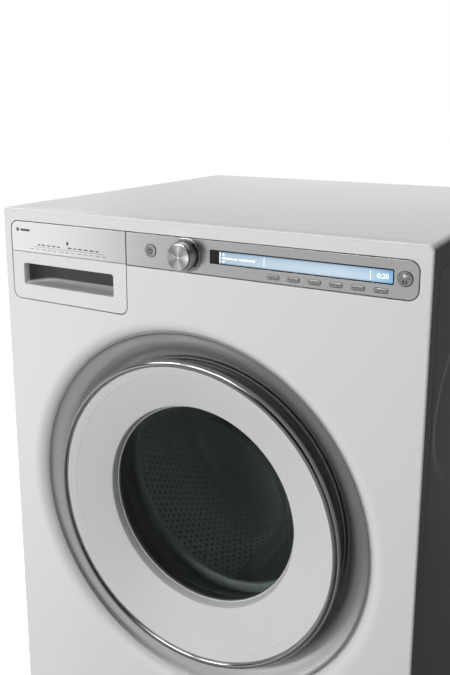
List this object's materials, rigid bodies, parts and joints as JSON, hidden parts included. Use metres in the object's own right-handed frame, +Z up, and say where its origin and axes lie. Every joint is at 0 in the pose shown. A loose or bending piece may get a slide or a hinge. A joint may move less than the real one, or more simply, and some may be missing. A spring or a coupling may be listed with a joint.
{
  "type": "front-loading washing machine",
  "caption": "Front-loading laundry washer: white cabinet, round glass door in a metal ring, detergent drawer, control strip with knob, display and keys, spinning drum",
  "frame": {"origin": "centre of the overall box on the floor", "axes": "+X to the right seen from the front, +Y into the machine (the door faces -Y), +Z up"},
  "size_m": [0.595, 0.605, 0.85],
  "materials": {
    "white_enamel": "gloss",
    "worktop_white": "satin",
    "galvanised": "satin",
    "satin_ring": "satin",
    "strip_metal": "brushed",
    "bright_chrome": "polished",
    "clear_pane": "polished",
    "dark_glass": "polished",
    "white_plastic": "gloss",
    "grey_plastic": "matte",
    "black_plastic": "matte",
    "display_black": "polished",
    "circuit": "matte",
    "grey_rubber": "matte",
    "black_rubber": "matte",
    "drum_steel": "polished",
    "cast_alloy": "cast",
    "steel_part": "satin",
    "motor_black": "satin",
    "concrete": "rough"
  },
  "bodies": {
    "cabinet": {"front_panel": "white_enamel", "left_side_panel": "white_enamel", "right_side_panel": "white_enamel", "top_panel": "worktop_white", "base_frame": "galvanised", "rear_panel": "galvanised", "rear_service_cover": "galvanised", "door_surround": "satin_ring", "door_gasket": "grey_rubber", "hinge_bracket": "steel_part", "door_lock": "black_plastic", "control_fascia": "strip_metal", "display_window": "display_black", "control_board": "circuit", "drawer_housing": "grey_plastic", "outer_tub": "grey_plastic", "drum_bearings": "steel_part", "heating_element": "steel_part", "motor_housing": "motor_black", "drive_belt": "black_rubber", "dampers": "steel_part", "suspension_springs": "steel_part", "top_counterweight": "concrete", "drain_pump": "white_plastic", "sump_hose": "black_rubber", "inlet_valve": "white_plastic", "drain_outlet": "grey_plastic", "power_inlet_gland": "black_plastic", "rear_screws": "steel_part"},
    "door": {"door_bezel": "bright_chrome", "door_outer_pane": "clear_pane", "door_white_ring": "white_plastic", "door_inner_frame": "white_plastic", "door_glass_bowl": "dark_glass", "door_hinge_leaf": "steel_part", "hinge_pin": "steel_part", "door_latch_hook": "steel_part"},
    "drawer": {"drawer_front": "white_plastic", "drawer_trim": "strip_metal", "drawer_tray": "grey_plastic"},
    "knob": {"program_knob": "strip_metal"},
    "power_key": {"power_button": "strip_metal"},
    "start_key": {"start_button": "strip_metal"},
    "drum": {"drum_shell": "drum_steel", "drum_lifters": "white_plastic", "drum_spider_shaft": "cast_alloy", "drum_pulley": "cast_alloy"},
    "rotor": {"motor_rotor": "motor_black"},
    "filter": {"pump_filter": "white_plastic"},
    "flap": {"service_flap": "white_plastic"},
    "option_key_1": {"option_button_1": "strip_metal"},
    "option_key_2": {"option_button_2": "strip_metal"},
    "option_key_3": {"option_button_3": "strip_metal"},
    "option_key_4": {"option_button_4": "strip_metal"},
    "option_key_5": {"option_button_5": "strip_metal"},
    "option_key_6": {"option_button_6": "strip_metal"},
    "foot_1": {"levelling_foot_1": "black_rubber"},
    "foot_2": {"levelling_foot_2": "black_rubber"},
    "foot_3": {"levelling_foot_3": "black_rubber"},
    "foot_4": {"levelling_foot_4": "black_rubber"}
  },
  "joints": [
    {"name": "door_hinge", "type": "hinge", "parent": "cabinet", "child": "door", "pos_m": [-0.2144, -0.2699, 0.4667], "axis": [0, 0, -1], "range_deg": [0, 120]},
    {"name": "drawer_slide", "type": "slide", "parent": "cabinet", "child": "drawer", "axis": [0, -1, 0], "range_m": [0, 0.225]},
    {"name": "knob_turn", "type": "hinge", "parent": "cabinet", "child": "knob", "pos_m": [0.0038, -0.2925, 0.8115], "axis": [0, -1, 0], "continuous": true},
    {"name": "power_press", "type": "slide", "parent": "cabinet", "child": "power_key", "axis": [0, 1, 0], "range_m": [0, 0.001], "stiffness_N_per_m": 1500, "springref_m": -0.0006},
    {"name": "start_press", "type": "slide", "parent": "cabinet", "child": "start_key", "axis": [0, 1, 0], "range_m": [0, 0.001], "stiffness_N_per_m": 1500, "springref_m": -0.0006},
    {"name": "option_press_1", "type": "slide", "parent": "cabinet", "child": "option_key_1", "axis": [0, 1, 0], "range_m": [0, 0.001], "stiffness_N_per_m": 1500, "springref_m": -0.0006},
    {"name": "option_press_2", "type": "slide", "parent": "cabinet", "child": "option_key_2", "axis": [0, 1, 0], "range_m": [0, 0.001], "stiffness_N_per_m": 1500, "springref_m": -0.0006},
    {"name": "option_press_3", "type": "slide", "parent": "cabinet", "child": "option_key_3", "axis": [0, 1, 0], "range_m": [0, 0.001], "stiffness_N_per_m": 1500, "springref_m": -0.0006},
    {"name": "option_press_4", "type": "slide", "parent": "cabinet", "child": "option_key_4", "axis": [0, 1, 0], "range_m": [0, 0.001], "stiffness_N_per_m": 1500, "springref_m": -0.0006},
    {"name": "option_press_5", "type": "slide", "parent": "cabinet", "child": "option_key_5", "axis": [0, 1, 0], "range_m": [0, 0.001], "stiffness_N_per_m": 1500, "springref_m": -0.0006},
    {"name": "option_press_6", "type": "slide", "parent": "cabinet", "child": "option_key_6", "axis": [0, 1, 0], "range_m": [0, 0.001], "stiffness_N_per_m": 1500, "springref_m": -0.0006},
    {"name": "drum_spin", "type": "hinge", "parent": "cabinet", "child": "drum", "pos_m": [0, 0.0175, 0.4667], "axis": [0, 1, 0], "continuous": true},
    {"name": "motor_spin", "type": "hinge", "parent": "cabinet", "child": "rotor", "pos_m": [0.095, 0.0875, 0.122], "axis": [0, 1, 0], "continuous": true},
    {"name": "filter_turn", "type": "hinge", "parent": "cabinet", "child": "filter", "pos_m": [0.17, -0.2525, 0.096], "axis": [0, -1, 0], "range_deg": [0, 90]},
    {"name": "flap_hinge", "type": "hinge", "parent": "cabinet", "child": "flap", "pos_m": [0.17, -0.2811, 0.05], "axis": [1, 0, 0], "range_deg": [0, 90]},
    {"name": "foot_screw_1", "type": "slide", "parent": "cabinet", "child": "foot_1", "axis": [0, 0, -1], "range_m": [0, 0.015]},
    {"name": "foot_screw_2", "type": "slide", "parent": "cabinet", "child": "foot_2", "axis": [0, 0, -1], "range_m": [0, 0.015]},
    {"name": "foot_screw_3", "type": "slide", "parent": "cabinet", "child": "foot_3", "axis": [0, 0, -1], "range_m": [0, 0.015]},
    {"name": "foot_screw_4", "type": "slide", "parent": "cabinet", "child": "foot_4", "axis": [0, 0, -1], "range_m": [0, 0.015]}
  ],
  "couplings": [
    {"joint": "motor_spin", "follows": "drum_spin", "ratio": 10}
  ]
}
